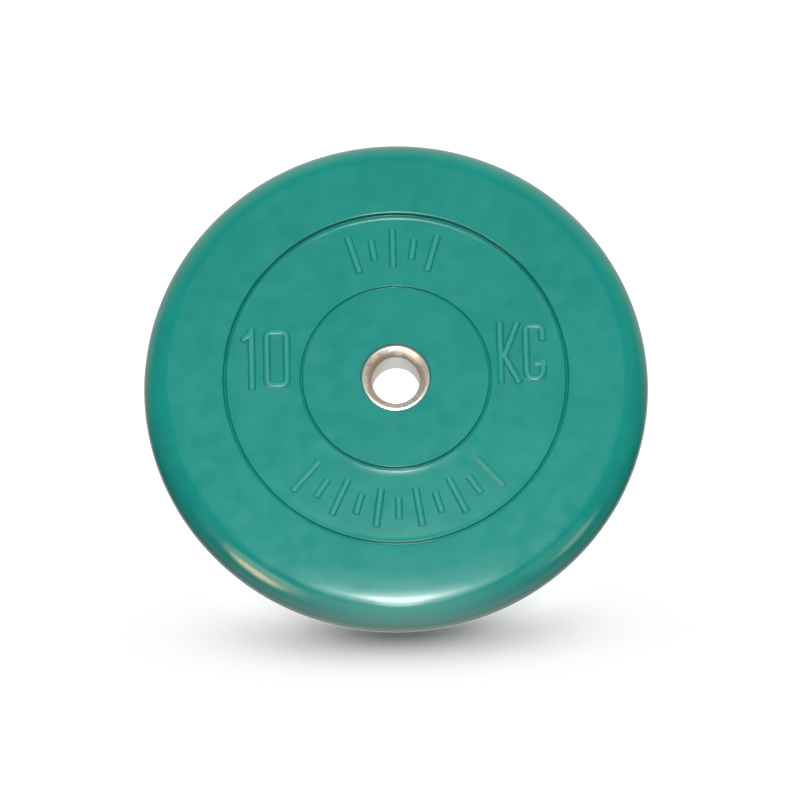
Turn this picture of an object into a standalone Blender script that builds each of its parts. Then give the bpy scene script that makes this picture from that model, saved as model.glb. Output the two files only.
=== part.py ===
"""A rubber coated weight plate for a barbell or dumbbell bar, in metres, with +Z up.

The plate lies flat: its lower face is on z = 0 and its bore runs up the Z axis. It is made of
three turned pieces: a moulded rubber coat, the cast iron core that it encloses, and the steel
bush that lines the bore. The coat's section is open towards the bore, where the bush closes it.
"""

import math

import bpy

# Whole plate
PLATE_RADIUS = 0.138
PLATE_THICKNESS = 0.034

# Rim, from the outer groove to the edge
RIM_WIDTH = 0.0446
CROWN_RADIUS = 0.170
CROWN_TILT = math.radians(5.0)

# Band between the grooves, sunk so that raised marks on it stay below the faces
HUB_FACE_RADIUS = 0.0515
BAND_RECESS = 0.0010

# Grooves, whose walls lean apart so that the mould comes away
OUTER_GROOVE_WIDTH = 0.0028
OUTER_GROOVE_FLOOR = 0.0008
OUTER_GROOVE_DEPTH = 0.0017
INNER_GROOVE_WIDTH = 0.0023
INNER_GROOVE_FLOOR = 0.0007
INNER_GROOVE_DEPTH = 0.0014
GROOVE_LIP_ROUND = 0.0010
GROOVE_FLOOR_BEVEL = 0.0004

# Rubber over the iron, and the rounded edge that it has round the bush
FACE_RUBBER = 0.0043
RIM_RUBBER = 0.0090
BUSH_EDGE_ROUND = 0.0008

# Iron core
CORE_EDGE_ROUND = 0.0060
CORE_BORE_CHAMFER = 0.0010

# Steel bush
BORE_RADIUS = 0.0130
BUSH_WALL = 0.0058
MOUTH_LAND = 0.0010
MOUTH_DEPTH = 0.0060
MOUTH_THROAT_ROUND = 0.0015
BUSH_EDGE_CHAMFER = 0.0005
BUSH_INSET = 0.0003

# Clearances
FIT_GAP = 0.0003
MERGE_DISTANCE = 0.00001

# Facets
COAT_STEPS = 72
CORE_STEPS = 72
BUSH_STEPS = 48
SHOULDER_STEPS = 8
SHARP_ANGLE = math.radians(38.0)

# Lengths that follow from the sizes above
MID_HEIGHT = PLATE_THICKNESS / 2
BUSH_RADIUS = BORE_RADIUS + BUSH_WALL
SEAT_RADIUS = BUSH_RADIUS + FIT_GAP
CORE_RADIUS = PLATE_RADIUS - RIM_RUBBER
CORE_HALF = MID_HEIGHT - FACE_RUBBER
OUTER_GROOVE_RADIUS = PLATE_RADIUS - RIM_WIDTH
BAND_HEIGHT = PLATE_THICKNESS - BAND_RECESS


def clear_scene():
    """Removes whatever the scene holds."""
    for item in list(bpy.data.objects):
        bpy.data.objects.remove(item, do_unlink=True)


def rounded(corners):
    """Points along a section, whose corners are (radius, height, fillet, steps).

    A fillet of 0 keeps a corner sharp. Where the next corner is too close, the fillet is limited
    to what the shorter side has room for.
    """
    points = []
    for index, (radius, height, fillet, steps) in enumerate(corners):
        before = corners[index - 1]
        after = corners[(index + 1) % len(corners)]
        if fillet == 0:
            points.append((radius, height))
            continue
        points += corner_arc((radius, height), before[:2], after[:2], fillet, steps)
    return points


def corner_arc(corner, before, after, fillet, steps):
    """Points of the arc that rounds one corner between its two neighbours."""
    back = (before[0] - corner[0], before[1] - corner[1])
    ahead = (after[0] - corner[0], after[1] - corner[1])
    back_length = math.hypot(*back)
    ahead_length = math.hypot(*ahead)
    back = (back[0] / back_length, back[1] / back_length)
    ahead = (ahead[0] / ahead_length, ahead[1] / ahead_length)
    opening = math.acos(back[0] * ahead[0] + back[1] * ahead[1])
    reach = min(fillet / math.tan(opening / 2), back_length / 2, ahead_length / 2)
    radius = reach * math.tan(opening / 2)
    middle = (back[0] + ahead[0], back[1] + ahead[1])
    to_centre = math.hypot(reach, radius) / math.hypot(*middle)
    centre = (corner[0] + middle[0] * to_centre, corner[1] + middle[1] * to_centre)
    start = (corner[0] + back[0] * reach, corner[1] + back[1] * reach)
    start_angle = math.atan2(start[1] - centre[1], start[0] - centre[0])
    turn_sign = math.copysign(1.0, back[1] * ahead[0] - back[0] * ahead[1])
    sweep = turn_sign * (math.pi - opening)
    return [
        (
            centre[0] + radius * math.cos(start_angle + sweep * step / steps),
            centre[1] + radius * math.sin(start_angle + sweep * step / steps),
        )
        for step in range(steps + 1)
    ]


def other_face(upper):
    """The same points on the lower face, in the order that carries the section on."""
    return [(radius, PLATE_THICKNESS - height) for radius, height in reversed(upper)]


def groove(radius, width, floor_width, depth, inner_height, outer_height):
    """Corners of one groove, from its lip on the bore's side to its lip on the rim's side."""
    floor = min(inner_height, outer_height) - depth
    return [
        (radius - width / 2, inner_height, GROOVE_LIP_ROUND, 2),
        (radius - floor_width / 2, floor, GROOVE_FLOOR_BEVEL, 1),
        (radius + floor_width / 2, floor, GROOVE_FLOOR_BEVEL, 1),
        (radius + width / 2, outer_height, GROOVE_LIP_ROUND, 2),
    ]


def shoulder():
    """Upper half of the rim: a slightly crowned face that runs into a round edge."""
    crown_drop = CROWN_RADIUS * (1 - math.cos(CROWN_TILT))
    edge_radius = (MID_HEIGHT - crown_drop) / math.cos(CROWN_TILT)
    edge_centre = PLATE_RADIUS - edge_radius
    crown_centre = edge_centre + edge_radius * math.sin(CROWN_TILT) - CROWN_RADIUS * math.sin(CROWN_TILT)
    points = []
    for share in (0.0, 0.5):
        tilt = CROWN_TILT * share
        crown_height = PLATE_THICKNESS - CROWN_RADIUS * (1 - math.cos(tilt))
        points.append((crown_centre + CROWN_RADIUS * math.sin(tilt), crown_height))
    for step in range(SHOULDER_STEPS):
        tilt = CROWN_TILT + (math.pi / 2 - CROWN_TILT) * step / SHOULDER_STEPS
        edge_height = MID_HEIGHT + edge_radius * math.cos(tilt)
        points.append((edge_centre + edge_radius * math.sin(tilt), edge_height))
    return points


def coat_section():
    """Section of the coat: moulded skin outside, hollow for the core inside, open at the bore."""
    hollow_half = CORE_HALF + FIT_GAP
    hollow_top = MID_HEIGHT + hollow_half
    hollow_radius = CORE_RADIUS + FIT_GAP
    hollow_round = CORE_EDGE_ROUND + FIT_GAP
    upper = [(SEAT_RADIUS, hollow_top, 0, 0), (SEAT_RADIUS, PLATE_THICKNESS, BUSH_EDGE_ROUND, 2)]
    upper += groove(
        HUB_FACE_RADIUS,
        INNER_GROOVE_WIDTH,
        INNER_GROOVE_FLOOR,
        INNER_GROOVE_DEPTH,
        PLATE_THICKNESS,
        BAND_HEIGHT,
    )
    upper += groove(
        OUTER_GROOVE_RADIUS,
        OUTER_GROOVE_WIDTH,
        OUTER_GROOVE_FLOOR,
        OUTER_GROOVE_DEPTH,
        BAND_HEIGHT,
        PLATE_THICKNESS,
    )
    rim = shoulder()
    flat_end = (rim[0][0], rim[0][1], 0, 0)
    # The first corner and the flat's end only guide the fillets next to them
    skin = rounded(upper + [flat_end])[:-1] + rim
    ceiling = [
        (hollow_radius, MID_HEIGHT, 0, 0),
        (hollow_radius, hollow_top, hollow_round, 3),
        (SEAT_RADIUS, hollow_top, 0, 0),
    ]
    hollow = rounded(ceiling)[1:-1]
    equator = [(PLATE_RADIUS, MID_HEIGHT)]
    hollow_lower = [(radius, PLATE_THICKNESS - height) for radius, height in hollow]
    return skin + equator + other_face(skin) + hollow_lower[::-1] + hollow


def core_section():
    """Section of the iron disc, with rounded outer edges and a broken edge at its bore."""
    top = MID_HEIGHT + CORE_HALF
    corners = [
        (SEAT_RADIUS, MID_HEIGHT, 0, 0),
        (SEAT_RADIUS, top, CORE_BORE_CHAMFER, 1),
        (CORE_RADIUS, top, CORE_EDGE_ROUND, 3),
        (CORE_RADIUS, MID_HEIGHT, 0, 0),
    ]
    upper = rounded(corners)[1:-1]
    return upper + other_face(upper)


def bush_section():
    """Section of the bush, whose mouths open out so that a bar finds its way in."""
    top = PLATE_THICKNESS - BUSH_INSET
    mouth_radius = BUSH_RADIUS - MOUTH_LAND
    corners = [
        (BORE_RADIUS, MID_HEIGHT, 0, 0),
        (BORE_RADIUS, top - MOUTH_DEPTH, MOUTH_THROAT_ROUND, 2),
        (mouth_radius, top, 0, 0),
        (BUSH_RADIUS, top, BUSH_EDGE_CHAMFER, 1),
        (BUSH_RADIUS, MID_HEIGHT, 0, 0),
    ]
    upper = rounded(corners)[1:-1]
    return upper + other_face(upper)


def material(name, colour, roughness, metallic):
    """One plain material from its colour, roughness and metallic value."""
    made = bpy.data.materials.new(name)
    made.use_nodes = True
    shader = made.node_tree.nodes["Principled BSDF"]
    shader.inputs["Base Color"].default_value = (*colour, 1.0)
    shader.inputs["Roughness"].default_value = roughness
    shader.inputs["Metallic"].default_value = metallic
    made.diffuse_color = (*colour, 1.0)
    return made


def turned(name, section, steps, finish):
    """A closed section turned once round the Z axis, as one object with its own material."""
    mesh = bpy.data.meshes.new(name)
    points = [(radius, 0.0, height) for radius, height in section]
    edges = [(index, (index + 1) % len(points)) for index in range(len(points))]
    mesh.from_pydata(points, edges, [])
    piece = bpy.data.objects.new(name, mesh)
    bpy.context.scene.collection.objects.link(piece)
    mesh.materials.append(finish)
    screw = piece.modifiers.new("Turn", "SCREW")
    screw.axis = "Z"
    screw.angle = 2 * math.pi
    screw.steps = steps
    screw.render_steps = steps
    screw.use_merge_vertices = True
    screw.merge_threshold = MERGE_DISTANCE
    return piece


def bake_turn(piece):
    """Makes the turned shape the piece's own mesh, shaded smooth apart from its real edges."""
    seen = piece.evaluated_get(bpy.context.evaluated_depsgraph_get())
    mesh = bpy.data.meshes.new_from_object(seen)
    plain = piece.data
    piece.modifiers.clear()
    piece.data = mesh
    mesh.name = piece.name
    bpy.data.meshes.remove(plain)
    mesh.shade_smooth()
    mesh.set_sharp_from_angle(angle=SHARP_ANGLE)


def build():
    """Makes the three pieces of the plate under one empty on the bore's axis."""
    clear_scene()
    plate = bpy.data.objects.new("weight_plate", None)
    bpy.context.scene.collection.objects.link(plate)
    rubber = material("green_rubber", (0.022, 0.296, 0.238), 0.48, 0.0)
    iron = material("cast_iron", (0.060, 0.058, 0.055), 0.75, 1.0)
    steel = material("turned_steel", (0.560, 0.540, 0.510), 0.28, 1.0)
    pieces = [
        turned("rubber_coat", coat_section(), COAT_STEPS, rubber),
        turned("iron_core", core_section(), CORE_STEPS, iron),
        turned("steel_bush", bush_section(), BUSH_STEPS, steel),
    ]
    for piece in pieces:
        bake_turn(piece)
        piece.parent = plate


build()
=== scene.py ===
"""Looks of a rubber coated weight plate that lies flat under a camera above its front edge.

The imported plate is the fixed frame, in metres with +Z up. Its coat and its bush are turned here again with
a fine surface, raised marks are laid on both faces, and each surface gets its finish. The studio round it
is a pale floor, soft lights from above and from both sides, and reflectors that only glossy surfaces show.
"""

import logging
import math
from dataclasses import dataclass
from enum import Enum

import bmesh
import bpy
from mathutils import Matrix, Vector


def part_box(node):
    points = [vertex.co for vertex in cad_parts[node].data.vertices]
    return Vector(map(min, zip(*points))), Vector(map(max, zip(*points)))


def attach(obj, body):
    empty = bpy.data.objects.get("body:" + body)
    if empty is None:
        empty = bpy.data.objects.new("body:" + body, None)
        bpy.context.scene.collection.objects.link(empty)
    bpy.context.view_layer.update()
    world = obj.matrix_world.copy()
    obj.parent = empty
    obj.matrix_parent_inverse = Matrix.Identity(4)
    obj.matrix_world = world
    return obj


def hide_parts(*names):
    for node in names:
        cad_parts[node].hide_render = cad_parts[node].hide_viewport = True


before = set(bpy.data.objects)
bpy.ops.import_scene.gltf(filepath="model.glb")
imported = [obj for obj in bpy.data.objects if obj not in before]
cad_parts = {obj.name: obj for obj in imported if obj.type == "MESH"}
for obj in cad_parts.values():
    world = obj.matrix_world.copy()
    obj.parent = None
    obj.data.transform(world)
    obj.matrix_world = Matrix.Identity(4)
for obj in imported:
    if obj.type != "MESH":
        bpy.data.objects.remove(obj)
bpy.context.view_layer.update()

BODY = "root"
LOG = logging.getLogger("weight_plate")

Point = tuple[float, float]
Stroke = tuple[Point, Point]
Colour = tuple[float, float, float]
Piece = bpy.types.Object
Socket = bpy.types.NodeSocket

# Largest distance between points that count as one, and the size of the primitive that a line starts from
SAME_PLACE = 0.000005
SEED_SIZE = 0.001

# Angle between faces, in degrees, above which an edge stays sharp
SHARP = 50


class Plane(Enum):
    """The plane that a line is drawn in."""

    SECTION = "through the bore's axis, where a point is (radius, height)"
    FACE = "along the plate's face, where a point is (x, y)"


class Side(Enum):
    """The face of the plate that a mark stands on."""

    UPPER = "upper"
    LOWER = "lower"


class LampKind(Enum):
    """What a lamp does, by the type of the light that it is made of."""

    SOFTBOX = "SUN"
    REFLECTOR = "AREA"


class Line:
    """A line drawn with edit mode's own tools, to be turned into a body or swept into a bead."""

    def __init__(self, name: str, plane: Plane, start: Point) -> None:
        """Starts the line at one point.

        Args:
            name: The name of the piece that the line becomes.
            plane: The plane that its points lie in.
            start: Its first point.
        """
        bpy.ops.object.select_all(action="DESELECT")
        bpy.ops.mesh.primitive_plane_add(size=SEED_SIZE, location=(0, 0, 0))
        self.piece = bpy.context.object
        self.piece.name = name
        self.plane = plane
        bpy.ops.object.mode_set(mode="EDIT")
        bpy.ops.mesh.select_mode(type="VERT")
        bpy.ops.mesh.select_all(action="SELECT")
        bpy.ops.mesh.merge(type="CENTER")
        bpy.ops.transform.translate(value=self.place(start))
        self.start = start
        self.end = start

    def place(self, point: Point) -> Vector:
        """Finds a point's place in space.

        Args:
            point: The point in the line's plane.

        Returns:
            Its place.
        """
        if self.plane is Plane.SECTION:
            return Vector((point[0], 0.0, point[1]))
        return Vector((point[0], point[1], 0.0))

    def to(self, *points: Point) -> "Line":
        """Draws straight stretches from point to point.

        Args:
            points: The stretches' ends.

        Returns:
            The line itself, so that the next stretch can follow.
        """
        for point in points:
            step = self.place(point) - self.place(self.end)
            bpy.ops.mesh.extrude_vertices_move(TRANSFORM_OT_translate={"value": step})
            self.end = point
        return self

    def arc(self, centre: Point, degrees: float, parts: int) -> "Line":
        """Draws an arc from the line's end.

        Args:
            centre: The arc's centre.
            degrees: The angle that it turns through, counter-clockwise as the plane's points are read.
            parts: The number of edges in it.

        Returns:
            The line itself.
        """
        axis = (0, 1, 0) if self.plane is Plane.SECTION else (0, 0, -1)
        turn = math.radians(degrees)
        bpy.ops.mesh.spin(steps=parts, angle=turn, center=self.place(centre), axis=axis)
        across = self.end[0] - centre[0]
        along = self.end[1] - centre[1]
        self.end = (
            centre[0] + across * math.cos(turn) - along * math.sin(turn),
            centre[1] + across * math.sin(turn) + along * math.cos(turn),
        )
        return self

    def select(self, *points: Point) -> None:
        """Selects only the line's vertices at some points.

        Args:
            points: The points.
        """
        shape = bmesh.from_edit_mesh(self.piece.data)
        bpy.ops.mesh.select_all(action="DESELECT")
        for vertex in shape.verts:
            if any((vertex.co - self.place(point)).length < SAME_PLACE for point in points):
                vertex.select = True
        shape.select_flush_mode()
        bmesh.update_edit_mesh(self.piece.data)

    def close(self) -> "Line":
        """Joins the line's end to its start.

        Returns:
            The line itself.
        """
        self.select(self.end, self.start)
        bpy.ops.mesh.edge_face_add()
        return self

    def round(self, reach: float, parts: int, *corners: Point) -> "Line":
        """Rounds corners of the line.

        Args:
            reach: How far from each corner its arc starts.
            parts: The number of edges in each arc.
            corners: The corners' points.

        Returns:
            The line itself.
        """
        self.select(*corners)
        bpy.ops.mesh.bevel(offset=reach, segments=parts, profile=0.5, affect="VERTICES")
        return self

    def turned(self, steps: int) -> Piece:
        """Turns the closed line once round the bore's axis.

        Args:
            steps: The number of faces round the axis.

        Returns:
            The turned body.
        """
        bpy.ops.mesh.select_all(action="SELECT")
        bpy.ops.mesh.spin(steps=steps, angle=2 * math.pi, center=(0, 0, 0), axis=(0, 0, 1))
        tidy_faces()
        return self.piece

    def curve(self) -> Piece:
        """Leaves edit mode and makes the line a curve.

        Returns:
            The curve object.
        """
        bpy.ops.object.mode_set(mode="OBJECT")
        bpy.ops.object.convert(target="CURVE")
        self.piece = bpy.context.object
        return self.piece


def tidy_faces() -> None:
    """Merges doubled points, points the faces outwards and leaves edit mode."""
    bpy.ops.mesh.select_all(action="SELECT")
    bpy.ops.mesh.remove_doubles(threshold=SAME_PLACE)
    bpy.ops.mesh.normals_make_consistent(inside=False)
    bpy.ops.object.mode_set(mode="OBJECT")


def pick(piece: Piece) -> None:
    """Makes a piece the only one that is selected, and the active one.

    Args:
        piece: The piece.
    """
    bpy.ops.object.select_all(action="DESELECT")
    piece.select_set(True)
    bpy.context.view_layer.objects.active = piece


def smooth(piece: Piece, degrees: float) -> None:
    """Shades a piece smooth, but for edges where the faces turn by more than some degrees."""
    pick(piece)
    bpy.ops.object.shade_smooth_by_angle(angle=math.radians(degrees))


class Sheet:
    """A node tree with short calls for the nodes that the finishes and the studio share."""

    def __init__(self, owner: bpy.types.Material | bpy.types.World, output: str) -> None:
        """Clears the owner's node tree.

        Args:
            owner: The material or world.
            output: The type of its output node after the word ShaderNodeOutput.
        """
        owner.use_nodes = True
        self.owner = owner
        self.tree = owner.node_tree
        self.tree.nodes.clear()
        self.output = self.tree.nodes.new("ShaderNodeOutput" + output)

    def node(self, kind: str, inputs: dict[str | int, object], **settings: object) -> bpy.types.Node:
        """Adds a node.

        Args:
            kind: The node's type after the word ShaderNode.
            inputs: Values or output sockets for its inputs, by name or number.
            settings: Its own settings.

        Returns:
            The node.
        """
        made = self.tree.nodes.new("ShaderNode" + kind)
        for name, value in settings.items():
            setattr(made, name, value)
        for name, value in inputs.items():
            if isinstance(value, Socket):
                self.tree.links.new(value, made.inputs[name])
            else:
                made.inputs[name].default_value = value
        return made

    def place(self) -> Socket:
        """Returns the object coordinates, which are the plate's own frame."""
        return self.node("TexCoord", {}).outputs["Object"]

    def along(self, place: Socket, axis: str) -> Socket:
        """Returns one of a point's three coordinates."""
        return self.node("SeparateXYZ", {0: place}).outputs[axis]

    def radius(self, place: Socket) -> Socket:
        """Returns a point's distance from the bore's axis."""
        flat = self.node("VectorMath", {0: place, 1: (1, 1, 0)}, operation="MULTIPLY").outputs[0]
        return self.node("VectorMath", {0: flat}, operation="LENGTH").outputs["Value"]

    def math(self, operation: str, *values: float | Socket) -> Socket:
        """Returns a Math node's result for one to three numbers or sockets."""
        return self.node("Math", dict(enumerate(values)), operation=operation).outputs[0]

    def away(self, value: Socket, middle: float) -> Socket:
        """Returns how far a value is from a middle one."""
        return self.math("ABSOLUTE", self.math("SUBTRACT", value, middle))

    def noise(self, place: Socket, grain: float, detail: float = 2.0, rough: float = 0.5) -> Socket:
        """Returns a noise pattern around 0.5, whose largest blotches are as wide as its grain in metres."""
        inputs = {"Vector": place, "Scale": 1 / grain, "Detail": detail, "Roughness": rough}
        return self.node("TexNoise", inputs).outputs["Fac"]

    def between(
        self, value: Socket, low: float, high: float, start: float = 0.0, end: float = 1.0
    ) -> Socket:
        """Returns a value that goes smoothly from start to end as another goes from low to high."""
        inputs = {0: value, 1: low, 2: high, 3: start, 4: end}
        return self.node("MapRange", inputs, interpolation_type="SMOOTHSTEP").outputs[0]

    def step(self, value: Socket, at: float, edge: float, before: float = 0.0) -> Socket:
        """Returns 0 below a step and 1 above it, or 1 and 0, with half its width as the edge."""
        return self.between(value, at - edge, at + edge, before, 1.0 - before)

    def blend(self, share: Socket, first: Colour | Socket, second: Colour | Socket) -> Socket:
        """Mixes two colours.

        Args:
            share: The second colour's share.
            first: The first colour, or its socket.
            second: The second colour, or its socket.

        Returns:
            The mix.
        """
        mixed = self.node("Mix", {0: share}, data_type="RGBA")
        for index, colour in ((6, first), (7, second)):
            if isinstance(colour, Socket):
                self.tree.links.new(colour, mixed.inputs[index])
            else:
                mixed.inputs[index].default_value = (*colour, 1.0)
        return mixed.outputs[2]

    def bump(self, height: Socket, depth: float, under: Socket | None = None) -> Socket:
        """Adds a bump.

        Args:
            height: The pattern of its height.
            depth: Its depth in metres.
            under: The normal of a bump below it, if there is one.

        Returns:
            The bumped normal.
        """
        inputs = {"Height": height, "Distance": depth, "Strength": 1.0}
        if under is not None:
            inputs["Normal"] = under
        return self.node("Bump", inputs).outputs["Normal"]

    def surface(self, shader: bpy.types.Node) -> None:
        """Links a shader to the output."""
        self.tree.links.new(shader.outputs[0], self.output.inputs["Surface"])

    def principled(self, **inputs: object) -> bpy.types.Material:
        """Closes a material with one Principled shader.

        Args:
            inputs: The shader's inputs, with an underscore for each space in their names.

        Returns:
            The material.
        """
        named = {name.replace("_", " "): value for name, value in inputs.items()}
        self.surface(self.node("BsdfPrincipled", named))
        return self.owner


def material_sheet(name: str) -> Sheet:
    """Returns the empty node tree of a new material."""
    return Sheet(bpy.data.materials.new(name), "Material")


@dataclass(frozen=True)
class RubberFinish:
    """Dyed moulded rubber with a satin skin and faint clouds of dye, painted a little paler towards the
    front as light, paler on the marks' crests as wear and painted highlight, and darker in the grooves and
    at the marks' feet as painted shade.
    """

    band_start: float
    band_end: float
    middle: float
    band_rise: float
    mark_rise: float
    deep: Colour = (0.0062, 0.262, 0.214)
    pale: Colour = (0.0095, 0.305, 0.252)
    # A paler tone for the marks' crests, partly wear and partly painted highlight
    worn_and_lit: Colour = (0.0130, 0.315, 0.264)
    # The darkest tone is painted shade, for the grooves and the marks' feet
    painted_shade: Colour = (0.0010, 0.075, 0.058)
    cloud: float = 0.050
    fleck: float = 0.009
    fleck_share: float = 0.35
    mottled: Point = (0.36, 0.64)
    mottle_share: float = 0.6
    # Painted light: the dye goes paler towards the front over this reach, by these shares
    painted_front_reach: float = 0.13
    painted_front_light: Point = (0.6, -0.1)
    band_edge: float = 0.0004
    # How dark the painted shade deep in the grooves gets, the heights over which it comes in, and its reach
    # from the grooves' middles
    groove_shade: float = 0.25
    groove_shade_heights: Point = (-0.0013, -0.0001)
    groove_reach: Point = (0.0011, 0.0014)
    mark_middle: float = 0.0740
    mark_reach: float = 0.0155
    mark_edge: float = 0.0005
    mark_heights: Point = (0.00001, 0.00006)
    # How dark the painted shade at the marks' feet gets, and the heights over which it goes
    foot_shade_amount: float = 0.40
    foot_shade_heights: Point = (0.0002, 0.0006)
    # Depths below the crests over which they go paler, partly wear and partly painted highlight
    worn_and_lit_depths: Point = (0.0003, 0.00002)
    gloss: float = 0.18
    gloss_play: float = 0.03
    band_gloss: float = 0.19
    mark_gloss: float = 0.30
    shine: float = 0.45
    wave: float = 0.022
    wave_depth: float = 0.00005
    grain: float = 0.0006
    grain_depth: float = 0.000004

    def near_grooves(self, sheet: Sheet, radius: Socket) -> Socket:
        """Returns 1 within the two grooves' radii and 0 elsewhere."""
        away = [sheet.away(radius, middle) for middle in (self.band_start, self.band_end)]
        return sheet.between(sheet.math("MINIMUM", *away), *self.groove_reach, 1.0, 0.0)

    def make(self) -> bpy.types.Material:
        """Lays out the rubber.

        Returns:
            The material.
        """
        sheet = material_sheet("dyed_rubber")
        place = sheet.place()
        radius = sheet.radius(place)
        rise = sheet.math("SUBTRACT", sheet.away(sheet.along(place, "Z"), self.middle), self.band_rise)
        flecks = sheet.noise(place, self.fleck, 3.0, 0.6)
        # Dye in clouds and flecks, and painted light that makes it a little paler towards the front
        clouds = sheet.math("MULTIPLY", sheet.noise(place, self.cloud, 4.0, 0.6), 1 - self.fleck_share)
        mottle = sheet.math("MULTIPLY_ADD", flecks, self.fleck_share, clouds)
        painted_front_light = sheet.between(sheet.along(place, "Y"), -self.painted_front_reach, self.painted_front_reach, *self.painted_front_light)
        spread = sheet.between(mottle, *self.mottled)
        share = sheet.math("MULTIPLY_ADD", spread, self.mottle_share, painted_front_light)
        dyed = sheet.blend(share, self.deep, self.pale)
        # Zones, by radius and by height above the band
        band_in = sheet.step(radius, self.band_start, self.band_edge)
        band = sheet.math("MULTIPLY", band_in, sheet.step(radius, self.band_end, self.band_edge, 1.0))
        off_band = sheet.between(rise, *self.mark_heights)
        away = sheet.away(radius, self.mark_middle)
        near = sheet.between(away, self.mark_reach, self.mark_reach + self.mark_edge, 1.0, 0.0)
        marks = sheet.math("MULTIPLY", off_band, near)
        # The marks' crests are paler, partly wear and partly painted highlight
        low, high = (self.mark_rise - depth for depth in self.worn_and_lit_depths)
        on_tops = sheet.math("MULTIPLY", sheet.between(rise, low, high), band)
        clean = sheet.blend(on_tops, dyed, self.worn_and_lit)
        # Painted shade: darker dye at the foot of each mark and deep in the grooves
        foot = sheet.between(rise, *self.foot_shade_heights, self.foot_shade_amount, 0.0)
        foot_shade_share = sheet.math("MULTIPLY", marks, foot)
        sunk = sheet.between(rise, *self.groove_shade_heights, self.groove_shade, 0.0)
        groove_shade_share = sheet.math("MULTIPLY", sunk, self.near_grooves(sheet, radius))
        painted_shade_share = sheet.math("MAXIMUM", groove_shade_share, foot_shade_share)
        colour = sheet.blend(painted_shade_share, clean, self.painted_shade)
        skin = sheet.between(flecks, 0.3, 0.7, self.gloss - self.gloss_play, self.gloss + self.gloss_play)
        satin = sheet.math("MULTIPLY_ADD", band, self.band_gloss - self.gloss, skin)
        rough = sheet.math("MULTIPLY_ADD", marks, self.mark_gloss - self.band_gloss, satin)
        waves = sheet.bump(sheet.noise(place, self.wave, 1.0), self.wave_depth)
        normal = sheet.bump(sheet.noise(place, self.grain, 2.0), self.grain_depth, waves)
        return sheet.principled(
            Base_Color=colour, Roughness=rough, Normal=normal, Specular_IOR_Level=self.shine
        )


@dataclass(frozen=True)
class SteelFinish:
    """Turned steel with rings from the tool, bright but for its bore, painted darker and greener as shade
    and reflection, and brown patches in its funnels that are a painted reflection of a warm room.
    """

    middle: float
    funnel_rise: float
    land_radius: float
    bright: Colour = (0.76, 0.80, 0.76)
    # Darker, greener steel for the bore: painted shade and reflection
    shaded_bore: Colour = (0.45, 0.57, 0.55)
    # A painted reflection of a warm room, laid in the funnels as brown patches
    painted_brown: Colour = (0.56, 0.40, 0.29)
    patch: float = 0.006
    # Where the painted brown patches come: by noise, more on one side and deeper in the funnels
    brown_patch_range: Point = (0.41, 0.73)
    browner_side: Point = (-0.014, 0.018)
    browner_side_share: Point = (0.15, -0.01)
    throat: float = 0.0132
    throat_share: Point = (0.14, -0.10)
    zone_edge: float = 0.0004
    ring: float = 0.00035
    ring_depth: float = 0.00002
    gloss: float = 0.22
    uneven: float = 0.12
    metal: float = 0.92
    # The metal share in the painted brown patches
    brown_patch_metal: float = 0.42

    def make(self) -> bpy.types.Material:
        """Lays out the steel.

        Returns:
            The material.
        """
        sheet = material_sheet("turned_steel")
        place = sheet.place()
        radius = sheet.radius(place)
        height = sheet.along(place, "Z")
        across = sheet.node("CombineXYZ", {0: radius, 2: height}).outputs[0]
        rings = sheet.noise(across, self.ring, 3.0, 0.7)
        patches = sheet.noise(place, self.patch, 4.0, 0.65)
        mouth = sheet.step(sheet.away(height, self.middle), self.funnel_rise, self.zone_edge)
        inside_land = sheet.step(radius, self.land_radius, self.zone_edge, 1.0)
        funnel = sheet.math("MULTIPLY", mouth, inside_land)
        # Painted reflection: brown patches, more on one side and deeper in, laid in the funnels' colour with
        # less metal
        side = sheet.between(sheet.along(place, "X"), *self.browner_side, *self.browner_side_share)
        deep = sheet.between(radius, self.throat, self.land_radius, *self.throat_share)
        likely = sheet.math("ADD", sheet.math("ADD", patches, side), deep)
        share = sheet.math("MULTIPLY", sheet.between(likely, *self.brown_patch_range), funnel)
        # The bore's steel is painted darker and greener, as shade and reflection
        clean = sheet.blend(mouth, self.shaded_bore, self.bright)
        colour = sheet.blend(share, clean, self.painted_brown)
        uneven = sheet.math("MULTIPLY_ADD", patches, self.uneven, self.gloss)
        rough = sheet.math("MULTIPLY_ADD", rings, self.uneven, uneven)
        normal = sheet.bump(rings, self.ring_depth)
        metal = sheet.math("MULTIPLY_ADD", share, self.brown_patch_metal - self.metal, self.metal)
        return sheet.principled(Base_Color=colour, Metallic=metal, Roughness=rough, Normal=normal)


@dataclass(frozen=True)
class IronFinish:
    """Sand cast iron with a pitted skin and a bloom of rust."""

    iron: Colour = (0.060, 0.058, 0.055)
    rust: Colour = (0.120, 0.055, 0.028)
    pit: float = 0.0015
    pit_depth: float = 0.00025
    bloom: float = 0.018
    rusted: Point = (0.52, 0.68)
    rust_share: float = 0.8
    metal: float = 0.9
    gloss: Point = (0.6, 0.85)

    def make(self) -> bpy.types.Material:
        """Lays out the iron.

        Returns:
            The material.
        """
        sheet = material_sheet("cast_iron_skin")
        place = sheet.place()
        pits = sheet.noise(place, self.pit, 4.0, 0.7)
        bloom = sheet.noise(place, self.bloom, 5.0, 0.65)
        share = sheet.between(bloom, *self.rusted, 0.0, self.rust_share)
        colour = sheet.blend(share, self.iron, self.rust)
        metal = sheet.math("SUBTRACT", self.metal, share)
        rough = sheet.between(bloom, 0.35, 0.7, *self.gloss)
        normal = sheet.bump(pits, self.pit_depth)
        return sheet.principled(Base_Color=colour, Metallic=metal, Roughness=rough, Normal=normal)


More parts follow.
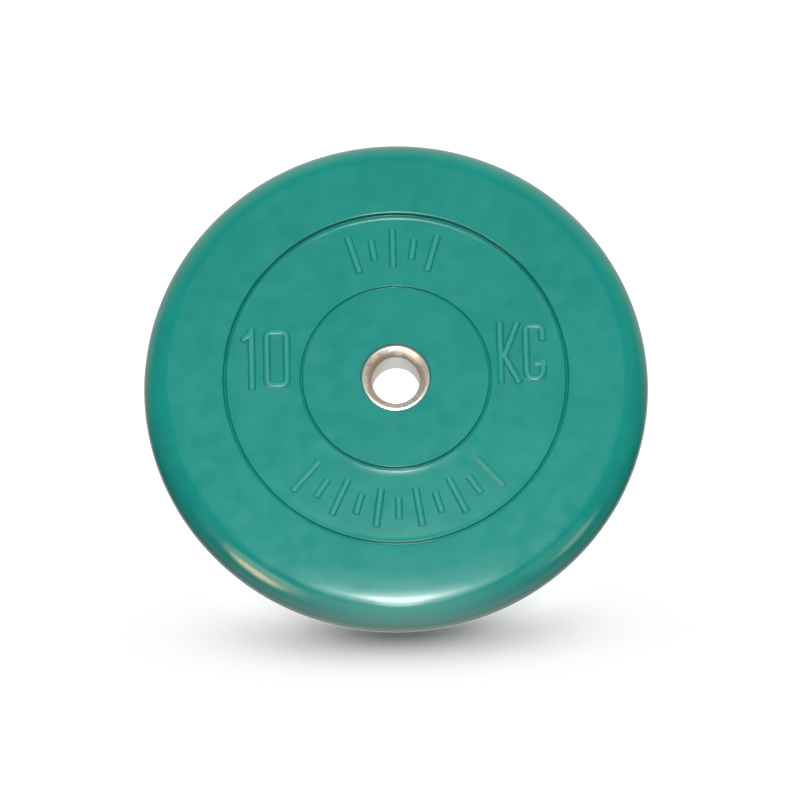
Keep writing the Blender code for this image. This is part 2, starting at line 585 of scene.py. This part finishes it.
@dataclass(frozen=True)
class FloorFinish:
    """Matt pale paper that the camera sees as plain white, except in front of the plate, where a painted
    shadow oval lies over the real shadow of the lamps.
    """

    paper: Colour = (0.42, 0.405, 0.41)
    fibre: float = 0.004
    fibre_tones: Point = (0.97, 1.0)
    shade_centre: float = -0.1343
    shade_width: float = 0.0515
    shade_depth: float = 0.0102
    shade_dark: float = 0.85
    shade_end: Point = (2.95, 3.30)
    lamp_light: float = 0.387
    lamp_reach: Point = (0.128, 0.157)
    bore: float = 0.020

    def make(self) -> bpy.types.Material:
        """Lays out the paper.

        Returns:
            The material.
        """
        sheet = material_sheet("pale_paper")
        place = sheet.place()
        fibre = sheet.between(sheet.noise(place, self.fibre, 3.0), 0.3, 0.7, *self.fibre_tones)
        tone = sheet.blend(fibre, (0.0, 0.0, 0.0), self.paper)
        paper = sheet.node("BsdfDiffuse", {"Color": tone})
        # Painted shadow: the paper's own light is left out in a soft oval in front of the plate, less what
        # the lamps give there
        shade = sheet.node("Mapping", {
            "Vector": place,
            "Location": (0, -self.shade_centre / self.shade_depth, 0),
            "Scale": (1 / self.shade_width, 1 / self.shade_depth, 1),
        })
        reach = sheet.radius(shade.outputs[0])
        fall = sheet.math("EXPONENT", sheet.math("MULTIPLY", sheet.math("POWER", reach, 2.0), -0.5))
        plain = sheet.math("MULTIPLY_ADD", fall, -self.shade_dark, 1.0)
        radius = sheet.radius(place)
        lamps = sheet.between(radius, *self.lamp_reach, 0.0, self.lamp_light)
        shaded = sheet.math("SUBTRACT", plain, lamps)
        around = sheet.math("MAXIMUM", shaded, sheet.between(reach, *self.shade_end))
        through = sheet.between(radius, self.bore / 2, self.bore, 1.0, 0.0)
        seen = sheet.node("LightPath", {}).outputs["Is Camera Ray"]
        strength = sheet.math("MULTIPLY", seen, sheet.math("MAXIMUM", around, through))
        light = sheet.node("Emission", {"Strength": strength})
        sheet.surface(sheet.node("AddShader", {0: paper.outputs[0], 1: light.outputs[0]}))
        return sheet.owner


def dress(piece: Piece, material: bpy.types.Material) -> None:
    """Gives a piece its only material."""
    piece.data.materials.clear()
    piece.data.materials.append(material)


def mount(piece: Piece, replaced: str = "") -> None:
    """Fixes a piece to the plate.

    Args:
        piece: The piece.
        replaced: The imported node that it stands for, if it stands for one.
    """
    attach(piece, BODY)
    if replaced:
        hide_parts(replaced)
    LOG.info("%s: %d faces", piece.name, len(piece.data.polygons))


@dataclass(frozen=True)
class Groove:
    """A ring groove with rounded lips between two faces that may differ in height."""

    radius: float
    width: float
    floor_width: float
    depth: float
    inner_height: float
    outer_height: float

    def corners(self) -> list[Point]:
        """Places the groove's corners.

        Returns:
            The four corners, from the lip on the bore's side to the lip on the rim's side.
        """
        floor = min(self.inner_height, self.outer_height) - self.depth
        return [
            (self.radius - self.width / 2, self.inner_height),
            (self.radius - self.floor_width / 2, floor),
            (self.radius + self.floor_width / 2, floor),
            (self.radius + self.width / 2, self.outer_height),
        ]


@dataclass
class TwoFaced:
    """A body whose lower face mirrors its upper one."""

    thickness: float

    def flip(self, point: Point) -> Point:
        """Returns the point of the lower face that lies under a point of the upper face."""
        return point[0], self.thickness - point[1]


@dataclass
class RubberCoat(TwoFaced):
    """The moulded rubber skin: a crowned rim, two lipped grooves and a sunk band on each face."""

    radius: float
    rim_width: float = 0.0448
    hub_radius: float = 0.0514
    band_recess: float = 0.0010
    crown_radius: float = 0.170
    crown_tilt: float = 5.0
    seat_radius: float = 0.0191
    face_rubber: float = 0.0043
    rim_rubber: float = 0.0090
    hollow_round: float = 0.0063
    fit_gap: float = 0.0003
    # Each groove's width, floor width and depth
    inner_groove: tuple[float, float, float] = (0.0018, 0.0007, 0.0012)
    outer_groove: tuple[float, float, float] = (0.0020, 0.0008, 0.0013)
    rim_lip_round: float = 0.0006
    lip_round: float = 0.00020
    floor_round: float = 0.00015
    hold: float = 0.0003
    inner_curl: Point = (0.0565, 0.00033)
    swell_reach: float = 0.0009
    swell_tilt: float = 13.0
    swell_flat: float = 0.0003
    slope_drop: float = 0.00030
    slope_tilt: float = 3.0
    seam_rise: float = 0.00010
    seam_width: float = 0.0006
    steps: int = 256
    # Numbers of edges in the arcs and round corners
    edge_parts: int = 26
    crown_parts: int = 5
    curl_parts: int = 5
    swell_parts: int = 4
    rim_lip_parts: int = 6
    lip_parts: int = 8
    floor_parts: int = 4
    hollow_parts: int = 5

    @property
    def band_height(self) -> float:
        """The height of the upper face's sunk band."""
        return self.thickness - self.band_recess

    @property
    def swell_bend(self) -> float:
        """The radius of the arcs in which the band swells up."""
        return self.swell_reach / math.sin(math.radians(self.swell_tilt))

    def grooves(self) -> tuple[Groove, Groove]:
        """Fits the grooves to the band's two ends.

        Returns:
            The upper face's inner and outer groove.
        """
        rim = self.radius - self.rim_width
        inner_lip = self.band_height + self.inner_curl[1]
        slope_end = self.band_height - self.slope_drop
        hollow = slope_end + self.swell_bend * math.cos(math.radians(self.slope_tilt))
        outer_lip = hollow + self.swell_bend * (1 - 2 * math.cos(math.radians(self.swell_tilt)))
        return (
            Groove(self.hub_radius, *self.inner_groove, self.thickness, inner_lip),
            Groove(rim, *self.outer_groove, outer_lip, self.thickness),
        )

    def curl(self, lip: Point) -> tuple[Point, float]:
        """Fits the arc in which the band rises to the inner groove's lip.

        Args:
            lip: The lip's corner.

        Returns:
            The arc's centre and the angle that it turns through, in degrees.
        """
        start, rise = self.inner_curl
        reach = start - lip[0]
        bend = (reach**2 + rise**2) / (2 * rise)
        return (start, self.band_height + bend), math.degrees(math.asin(reach / bend))

    def swell(self, lip: Point) -> list[tuple[Point, float]]:
        """Fits the two arcs in which the band swells up to the outer groove's lip.

        Args:
            lip: The lip's corner.

        Returns:
            Each arc's centre and the angle that it turns through in degrees, from the band outwards.
        """
        bend = self.swell_bend
        end = lip[0] - self.swell_flat
        rise = bend * (2 * math.cos(math.radians(self.swell_tilt)) - 1)
        hollow = (end - 2 * self.swell_reach, lip[1] + rise)
        return [(hollow, self.slope_tilt + self.swell_tilt), ((end, lip[1] - bend), -self.swell_tilt)]

    def build(self) -> Piece:
        """Draws the coat's section and turns it.

        Returns:
            The coat, closed all round, with its hollow open towards the bore.
        """
        middle = self.thickness / 2
        tilt = math.radians(self.crown_tilt)
        crown_drop = self.crown_radius * (1 - math.cos(tilt))
        edge_radius = (middle - crown_drop) / math.cos(tilt)
        edge_centre = self.radius - self.seam_rise - edge_radius
        crown_centre = edge_centre + (edge_radius - self.crown_radius) * math.sin(tilt)
        hollow = self.thickness - self.face_rubber + self.fit_gap
        hollow_radius = self.radius - self.rim_rubber + self.fit_gap
        inner, outer = self.grooves()
        mouth = (self.seat_radius, hollow)
        bush_lip = (self.seat_radius, self.thickness)
        hub_start = (self.seat_radius + self.lip_round + self.hold, self.thickness)
        corners = inner.corners() + outer.corners()
        inner_arc = self.curl(corners[3])
        swell = self.swell(corners[4])
        band_start = (inner_arc[0][0], self.band_height)
        slope = math.radians(self.slope_tilt)
        hollow_centre = swell[0][0]
        slope_end = (
            hollow_centre[0] - self.swell_bend * math.sin(slope),
            hollow_centre[1] - self.swell_bend * math.cos(slope),
        )
        band_end = (slope_end[0] - self.slope_drop / math.tan(slope), self.band_height)
        swell_end = (swell[1][0][0], corners[4][1])
        # Points a little way behind each rounded lip keep the shading of the flat faces flat
        hub_end = (corners[0][0] - self.lip_round - self.hold, self.thickness)
        rim_start = (corners[7][0] + self.rim_lip_round + self.hold, self.thickness)
        line = Line("rubber_coat_skin", Plane.SECTION, mouth)
        line.to(bush_lip, hub_start, hub_end, *corners[:4])
        line.arc(*inner_arc, self.curl_parts).to(band_end, slope_end)
        for centre, turn in swell:
            line.arc(centre, turn, self.swell_parts)
        line.to(*corners[4:], rim_start)
        # Rim: flat, crown, round edge down to the moulding seam, and the same again underneath
        seam_half = self.seam_width / 2
        seam_turn = math.degrees(math.asin(seam_half / edge_radius))
        round_turn = 90 - self.crown_tilt - seam_turn
        line.to((crown_centre, self.thickness))
        crown = (crown_centre, self.thickness - self.crown_radius)
        line.arc(crown, -self.crown_tilt, self.crown_parts)
        line.arc((edge_centre, middle), -round_turn, self.edge_parts)
        line.to((self.radius, middle + seam_half / 2), (self.radius, middle - seam_half / 2))
        line.to((edge_centre + edge_radius * math.cos(math.radians(seam_turn)), middle - seam_half))
        line.arc((edge_centre, middle), -round_turn, self.edge_parts)
        line.arc(self.flip(crown), -self.crown_tilt, self.crown_parts)
        line.to(*map(self.flip, (rim_start, *reversed(corners[4:]), swell_end)))
        for centre, turn in reversed(swell):
            line.arc(self.flip(centre), turn, self.swell_parts)
        line.to(self.flip(band_end), self.flip(band_start))
        line.arc(self.flip(inner_arc[0]), inner_arc[1], self.curl_parts)
        line.to(*map(self.flip, (*reversed(corners[:3]), hub_end, hub_start, bush_lip, mouth)))
        hollow_corner = (hollow_radius, hollow)
        line.to(self.flip(hollow_corner), hollow_corner).close()
        lips = [bush_lip, corners[0], corners[3], corners[4]]
        floors = [corners[1], corners[2], corners[5], corners[6]]
        for rounded, reach, parts in (
            ([corners[7]], self.rim_lip_round, self.rim_lip_parts),
            (lips, self.lip_round, self.lip_parts),
            (floors, self.floor_round, self.floor_parts),
            ([hollow_corner], self.hollow_round, self.hollow_parts),
        ):
            line.round(reach, parts, *rounded, *map(self.flip, rounded))
        piece = line.turned(self.steps)
        smooth(piece, SHARP)
        return piece


@dataclass
class SteelBush(TwoFaced):
    """The turned steel sleeve in the bore, whose mouths open out like funnels."""

    bore_radius: float = 0.0130
    outer_radius: float = 0.0190
    mouth_land: float = 0.0018
    mouth_depth: float = 0.0060
    edge_drop: float = 0.00025
    inset: float = 0.00015
    throat_round: float = 0.0012
    edge_round: float = 0.00025
    rim_round: float = 0.0006
    throat_parts: int = 5
    rim_parts: int = 5
    edge_parts: int = 3
    sharp: float = 40
    steps: int = 192

    def build(self) -> Piece:
        """Draws the bush's section and turns it.

        Returns:
            The bush.
        """
        top = self.thickness - self.inset
        throat = (self.bore_radius, top - self.mouth_depth)
        mouth = (self.outer_radius - self.mouth_land, top)
        edge = (self.outer_radius, top - self.edge_drop)
        line = Line("steel_bush_turned", Plane.SECTION, throat)
        line.to(mouth, edge, self.flip(edge), self.flip(mouth), self.flip(throat)).close()
        for corner, reach, parts in (
            (throat, self.throat_round, self.throat_parts),
            (edge, self.rim_round, self.rim_parts),
            (mouth, self.edge_round, self.edge_parts),
        ):
            line.round(reach, parts, corner, self.flip(corner))
        piece = line.turned(self.steps)
        smooth(piece, self.sharp)
        return piece


@dataclass
class RaisedMarks:
    """Beads moulded on the sunk band: the number, its unit, and plain ribs above and below the hub."""

    thickness: float
    band_height: float
    width: float = 0.0043
    top_width: float = 0.0024
    rise: float = 0.00085
    crown: float = 0.00016
    shoulder_round: float = 0.00050
    sunk: float = 0.0005
    step: float = 0.00003
    rib_start: float = 0.0630
    rib_end: float = 0.0846
    rib_pitch: float = 8.5
    short_share: float = 0.55
    short_ribs: int = 5
    long_ribs: int = 11
    end_round: float = 0.00045
    side_count: int = 4
    crown_parts: int = 6
    shoulder_parts: int = 4
    end_parts: int = 3
    corner_parts: int = 6
    # Both ends of each straight bead, and the lower left and upper right corners of the bent ones
    one_stem: Stroke = ((-0.0783, -0.0052), (-0.0783, 0.0297))
    one_flag: Stroke = ((-0.0833, 0.0229), (-0.0779, 0.0284))
    zero_corners: Stroke = ((-0.0700, -0.0026), (-0.0592, 0.0274))
    zero_round: float = 0.0030
    k_stem: Stroke = ((0.0573, -0.0049), (0.0573, 0.0301))
    k_arm: Stroke = ((0.0587, 0.0090), (0.0670, 0.0300))
    k_leg: Stroke = ((0.0586, 0.0126), (0.0673, -0.0048))
    g_corners: Stroke = ((0.0713, -0.0021), (0.0803, 0.0276))
    g_ends: Point = (0.0080, 0.0191)
    g_top_round: float = 0.0027
    g_foot_round: float = 0.0040
    g_bar: Stroke = ((0.0821, 0.0063), (0.0759, 0.0063))

    def profile(self) -> Piece:
        """Draws the bead's cross section.

        Returns:
            A low hump whose foot is sunk in the band.
        """
        foot = self.width / 2
        top = self.top_width / 2
        shoulder = self.rise - self.crown
        crown_radius = (top**2 + self.crown**2) / (2 * self.crown)
        crown_turn = 2 * math.degrees(math.asin(top / crown_radius))
        line = Line("bead_section", Plane.FACE, (-foot, -self.sunk))
        line.to((-foot, 0), (-top, shoulder))
        line.arc((0, self.rise - crown_radius), -crown_turn, self.crown_parts)
        line.to((foot, 0), (foot, -self.sunk)).close()
        line.round(self.shoulder_round, self.shoulder_parts, (-top, shoulder), (top, shoulder))
        return line.curve()

    def bead(self, line: Line) -> Piece:
        """Sweeps the cross section along a line and rounds the ends.

        Args:
            line: The bead's centre line.

        Returns:
            The bead as a closed mesh, with its foot at height zero.
        """
        path = line.curve()
        profile = self.profile()
        path.data.dimensions = "3D"
        path.data.twist_mode = "Z_UP"
        path.data.bevel_mode = "OBJECT"
        path.data.bevel_object = profile
        path.data.use_fill_caps = True
        pick(path)
        bpy.ops.object.convert(target="MESH")
        bpy.data.objects.remove(profile, do_unlink=True)
        piece = bpy.context.object
        bpy.ops.object.mode_set(mode="EDIT")
        bpy.ops.mesh.select_mode(type="EDGE")
        bpy.ops.mesh.select_all(action="DESELECT")
        shape = bmesh.from_edit_mesh(piece.data)
        for face in shape.faces:
            if len(face.verts) > self.side_count:
                for edge in face.edges:
                    edge.select = min(vertex.co.z for vertex in edge.verts) > -SAME_PLACE
        bmesh.update_edit_mesh(piece.data)
        bpy.ops.mesh.bevel(offset=self.end_round, segments=self.end_parts, affect="EDGES")
        tidy_faces()
        return piece

    def strokes(self, *ends: Stroke) -> list[Piece]:
        """Returns a straight bead for each pair of ends."""
        return [self.bead(Line("stroke", Plane.FACE, start).to(end)) for start, end in ends]

    def zero(self) -> list[Piece]:
        """Draws the figure zero.

        Returns:
            Its bead, a ring with round corners.
        """
        (left, low), (right, high) = self.zero_corners
        corners = ((left, low), (right, low), (right, high), (left, high))
        line = Line("ring", Plane.FACE, corners[0]).to(*corners[1:]).close()
        line.round(self.zero_round, self.corner_parts, *corners)
        return [self.bead(line)]

    def letter_g(self) -> list[Piece]:
        """Draws the unit's second letter.

        Returns:
            Its beads, a hook and a bar.
        """
        (left, low), (right, high) = self.g_corners
        low_end, high_end = self.g_ends
        line = Line("hook", Plane.FACE, (right, high_end))
        line.to((right, high), (left, high), (left, low), (right, low), (right, low_end))
        line.round(self.g_top_round, self.corner_parts, (right, high), (left, high))
        line.round(self.g_foot_round, self.corner_parts, (left, low), (right, low))
        return [self.bead(line), *self.strokes(self.g_bar)]

    def united(self, name: str, beads: list[Piece]) -> Piece:
        """Makes one closed body of beads that overlap, each a little lower than the one before.

        Args:
            name: The body's name.
            beads: The beads, the first of which becomes the body.

        Returns:
            The body.
        """
        body, *others = beads
        pick(body)
        body.name = name
        for index, other in enumerate(others, 1):
            other.location.z = -self.step * index
            union = body.modifiers.new("union", "BOOLEAN")
            union.operation = "UNION"
            union.object = other
            bpy.ops.object.modifier_apply(modifier=union.name)
            bpy.data.objects.remove(other, do_unlink=True)
        return body

    def ribs(self, name: str, middle: float, count: int) -> Piece:
        """Makes a fan of ribs, long and short by turns.

        Args:
            name: The name of the group.
            middle: The angle of its middle in degrees.
            count: The number of ribs.

        Returns:
            The ribs as one object.
        """
        middle_radius = (self.rib_start + self.rib_end) / 2
        half = (self.rib_end - self.rib_start) / 2
        reaches = (half, half * self.short_share)
        models = self.strokes(
            *(((middle_radius - reach, 0), (middle_radius + reach, 0)) for reach in reaches)
        )
        copies = []
        for index in range(count):
            pick(models[index % 2])
            bpy.ops.object.duplicate()
            copy = bpy.context.object
            turn = middle + (index - (count - 1) / 2) * self.rib_pitch
            copy.rotation_euler = (0, 0, math.radians(turn))
            copies.append(copy)
        for model in models:
            bpy.data.objects.remove(model, do_unlink=True)
        return joined(name, copies)

    def lay(self, piece: Piece, side: Side) -> Piece:
        """Lays a piece on the band of one face.

        Args:
            piece: The piece, with its foot at height zero, as the upper face shows it.
            side: The face, which on the lower side is read from below.

        Returns:
            The piece with its place in its mesh.
        """
        pick(piece)
        if side is Side.UPPER:
            piece.location = (0, 0, self.band_height)
        else:
            piece.rotation_euler = (math.pi, 0, 0)
            piece.location = (0, 0, self.thickness - self.band_height)
        bpy.ops.object.transform_apply(location=True, rotation=True, scale=True)
        smooth(piece, SHARP)
        return piece

    def build(self, side: Side) -> list[Piece]:
        """Makes all the marks of one face.

        Args:
            side: The face.

        Returns:
            The number, its unit and the two fans of ribs.
        """
        one = self.united("one", self.strokes(self.one_stem, self.one_flag))
        number = joined("number_ten_" + side.value, [one, *self.zero()])
        first = self.united("first", self.strokes(self.k_stem, self.k_arm, self.k_leg))
        unit = joined("unit_kg_" + side.value, [first, self.united("second", self.letter_g())])
        top = self.ribs("short_fan_" + side.value, 90, self.short_ribs)
        bottom = self.ribs("long_fan_" + side.value, -90, self.long_ribs)
        return [self.lay(piece, side) for piece in (number, unit, top, bottom)]


def joined(name: str, pieces: list[Piece]) -> Piece:
    """Joins pieces that don't touch into one object.

    Args:
        name: The object's name.
        pieces: The pieces.

    Returns:
        The object, at the origin.
    """
    pick(pieces[0])
    for piece in pieces[1:]:
        piece.select_set(True)
    bpy.ops.object.transform_apply(location=True, rotation=True, scale=True)
    bpy.ops.object.join()
    whole = bpy.context.object
    whole.name = name
    return whole


@dataclass(frozen=True)
class Lamp:
    """A lamp that shines on the plate's middle, or a reflector that only glossy surfaces show."""

    name: str
    kind: LampKind
    tilt: float
    azimuth: float
    strength: float
    size: Point = (1.0, 1.0)
    distance: float = 2.2
    colour: Colour = (1.0, 1.0, 1.0)

    def hang(self, target: Vector) -> Piece:
        """Hangs the lamp.

        Args:
            target: The point that it faces.

        Returns:
            The lamp, whose tilt is from the vertical and whose azimuth is from -Y towards +X.
        """
        light = bpy.data.lights.new(self.name, self.kind.value)
        light.color = self.colour
        light.energy = self.strength
        if self.kind is LampKind.SOFTBOX:
            light.angle = math.radians(self.size[0])
        else:
            light.shape = "ELLIPSE"
            light.size, light.size_y = self.size
        lamp = bpy.data.objects.new(self.name, light)
        bpy.context.scene.collection.objects.link(lamp)
        tilt, azimuth = math.radians(self.tilt), math.radians(self.azimuth)
        flat = Vector((math.sin(azimuth), -math.cos(azimuth), 0)) * math.sin(tilt)
        towards = flat + Vector((0, 0, math.cos(tilt)))
        lamp.location = target + towards * self.distance
        lamp.rotation_euler = towards.to_track_quat("Z", "Y").to_euler()
        lamp.visible_camera = False
        lamp.visible_diffuse = self.kind is LampKind.SOFTBOX
        lamp.visible_glossy = self.kind is LampKind.REFLECTOR
        return lamp


@dataclass
class Studio:
    """The pale floor, the lamps and the camera round the plate."""

    face_centre: Vector
    floor_size: float = 12.0
    fill: float = 0.07
    ceiling: float = 0.04
    back_top: float = 0.06
    back_wall: float = 1.0
    back_floor: float = 0.85
    front_wall: float = 2.7
    front_floor: float = 1.0
    table: float = 1.1
    warm: Colour = (1.0, 0.80, 0.74)
    # Where each patch of the room starts and ends, by heading and by height of a direction
    back_width: Point = (0.35, 0.85)
    back_heights: Point = (-0.1, 0.8)
    low_width: Point = (0.0, 0.6)
    low_heights: Point = (-0.3, 0.1)
    narrow_heights: Point = (-0.4, 0.1)
    narrow_powers: Point = (2.0, 6.0)
    front_end: Point = (0.75, 0.95)
    front_foot: Point = (-0.95, -0.80)
    table_heights: Point = (-0.98, -0.7)
    tilt: float = 16.32
    distance: float = 2.45
    aim_right: float = 0.0020
    aim_down: float = 0.0125
    roll: float = -1.2
    lens: float = 202.7

    def floor(self) -> Piece:
        """Lays the floor.

        Returns:
            The floor on which the plate rests.
        """
        bpy.ops.object.select_all(action="DESELECT")
        bpy.ops.mesh.primitive_plane_add(size=self.floor_size, location=(0, 0, 0))
        floor = bpy.context.object
        floor.name = "floor"
        dress(floor, FloorFinish().make())
        floor.visible_glossy = False
        return floor

    def sky(self) -> bpy.types.World:
        """Makes the room.

        Returns:
            The world, white to the camera, and to the gloss dim at the sides and pale behind and in front.
        """
        world = bpy.data.worlds.new("room")
        bpy.context.scene.world = world
        sheet = Sheet(world, "World")
        world.cycles.sampling_method = "NONE"
        path = sheet.node("LightPath", {})
        direction = sheet.node("TexCoord", {}).outputs["Generated"]
        height = sheet.along(direction, "Z")
        level = sheet.node("VectorMath", {0: direction, 1: (1, 1, 0)}, operation="MULTIPLY")
        heading = sheet.node("VectorMath", {0: level.outputs[0]}, operation="NORMALIZE")
        backwards = sheet.along(heading.outputs[0], "Y")
        wide = sheet.between(backwards, *self.back_width)
        high = sheet.between(height, *self.back_heights, self.back_wall, self.back_top)
        behind = sheet.math("MULTIPLY", wide, high)
        wide = sheet.between(backwards, *self.low_width)
        low = sheet.between(height, *self.low_heights, self.back_floor, 0.0)
        below = sheet.math("MULTIPLY", wide, low)
        narrow = sheet.between(height, *self.narrow_heights, *self.narrow_powers)
        forwards = sheet.math("MULTIPLY", backwards, -1.0)
        ahead = sheet.math("POWER", sheet.math("MAXIMUM", forwards, 0.0), narrow)
        for reach in (
            sheet.between(height, *self.front_end, 1.0, 0.0),
            sheet.between(height, -1.0, 0.0, self.front_floor, self.front_wall),
            sheet.between(height, *self.front_foot),
        ):
            ahead = sheet.math("MULTIPLY", ahead, reach)
        table = sheet.between(height, *self.table_heights, self.table, 0.0)
        around = sheet.math("MAXIMUM", sheet.math("MAXIMUM", behind, below), table)
        warm = sheet.node("VectorMath", {0: self.warm, "Scale": around}, operation="SCALE").outputs[0]
        plain = sheet.math("ADD", ahead, self.ceiling)
        wall = sheet.node("VectorMath", {0: warm, 1: plain}, operation="ADD").outputs[0]
        shown = sheet.blend(path.outputs["Is Glossy Ray"], (self.fill,) * 3, wall)
        all_shown = sheet.blend(path.outputs["Is Camera Ray"], shown, (1.0, 1.0, 1.0))
        sheet.surface(sheet.node("Background", {"Color": all_shown, "Strength": 1.0}))
        return world

    def lamps(self) -> list[Piece]:
        """Hangs the lamps.

        Returns:
            The lamps.
        """
        box, mirror = LampKind.SOFTBOX, LampKind.REFLECTOR
        amber, peach = (1.0, 0.56, 0.30), (1.0, 0.75, 0.55)
        sand, cream = (1.0, 0.80, 0.60), (1.0, 0.85, 0.70)
        lamps = [
            Lamp("top_softbox", box, 16, 180, 2.72, (50, 50)),
            Lamp("left_softbox", box, 70, -98, 0.40, (50, 50)),
            Lamp("right_softbox", box, 70, 98, 0.46, (50, 50)),
            Lamp("top_reflector", mirror, 9.3, 0, 18.4, (0.28, 0.78)),
            Lamp("top_wings", mirror, 14.5, 0, 8.5, (1.1, 1.15)),
            Lamp("top_tail", mirror, 25, 0, 8, (0.30, 0.80)),
            Lamp("top_halo", mirror, 6.5, 180, 0.28, (0.24, 0.22)),
            Lamp("left_lantern", mirror, 70, -46, 13, (0.6, 0.7), colour=amber),
            Lamp("left_glow", mirror, 62, -46, 16, (0.9, 2.0), colour=peach),
            Lamp("right_lantern", mirror, 72, 58, 3.5, (0.6, 0.7), colour=sand),
            Lamp("right_glow", mirror, 55, 54, 3, (0.8, 1.8), colour=cream),
        ]
        return [lamp.hang(self.face_centre) for lamp in lamps]

    def camera(self) -> Piece:
        """Sets the camera above the plate's front edge.

        Returns:
            The camera.
        """
        data = bpy.data.cameras.new("camera")
        data.lens = self.lens
        camera = bpy.data.objects.new("camera", data)
        bpy.context.scene.collection.objects.link(camera)
        bpy.context.scene.camera = camera
        tilt = math.radians(self.tilt)
        back = Vector((0, -math.sin(tilt), math.cos(tilt)))
        picture_up = Vector((0, math.cos(tilt), math.sin(tilt)))
        camera.location = self.face_centre + back * self.distance
        aim = self.face_centre + Vector((1, 0, 0)) * self.aim_right - picture_up * self.aim_down
        look = (aim - camera.location).to_track_quat("-Z", "Y").to_matrix().to_4x4()
        turned = look @ Matrix.Rotation(math.radians(self.roll), 4, "Z")
        camera.rotation_euler = turned.to_euler()
        return camera

    def build(self) -> None:
        """Makes the floor, the room, the lamps and the camera."""
        bpy.context.scene.view_settings.view_transform = "Standard"
        self.floor()
        self.sky()
        self.lamps()
        self.camera()


def main() -> None:
    """Builds the plate's pieces in order, dresses them and sets up the studio."""
    logging.basicConfig(level=logging.INFO, format="%(name)s: %(message)s")
    _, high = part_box("rubber_coat")
    radius, thickness = high.x, high.z
    coat = RubberCoat(thickness, radius)
    marks = RaisedMarks(thickness, coat.band_height)
    rubber = RubberFinish(
        band_start=coat.hub_radius,
        band_end=radius - coat.rim_width,
        middle=thickness / 2,
        band_rise=coat.band_height - thickness / 2,
        mark_rise=marks.rise,
    ).make()

    skin = coat.build()
    dress(skin, rubber)
    mount(skin, "rubber_coat")

    for side in Side:
        for piece in marks.build(side):
            dress(piece, rubber)
            mount(piece)

    turned = SteelBush(thickness)
    bush = turned.build()
    steel = SteelFinish(
        middle=thickness / 2,
        funnel_rise=thickness / 2 - turned.mouth_depth,
        land_radius=turned.outer_radius - turned.mouth_land,
    ).make()
    dress(bush, steel)
    mount(bush, "steel_bush")

    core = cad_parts["iron_core"]
    core.material_slots[0].material = IronFinish().make()
    LOG.info("%s keeps its packed shape", core.name)

    Studio(Vector((0, 0, thickness))).build()


if __name__ == "__main__":
    main()
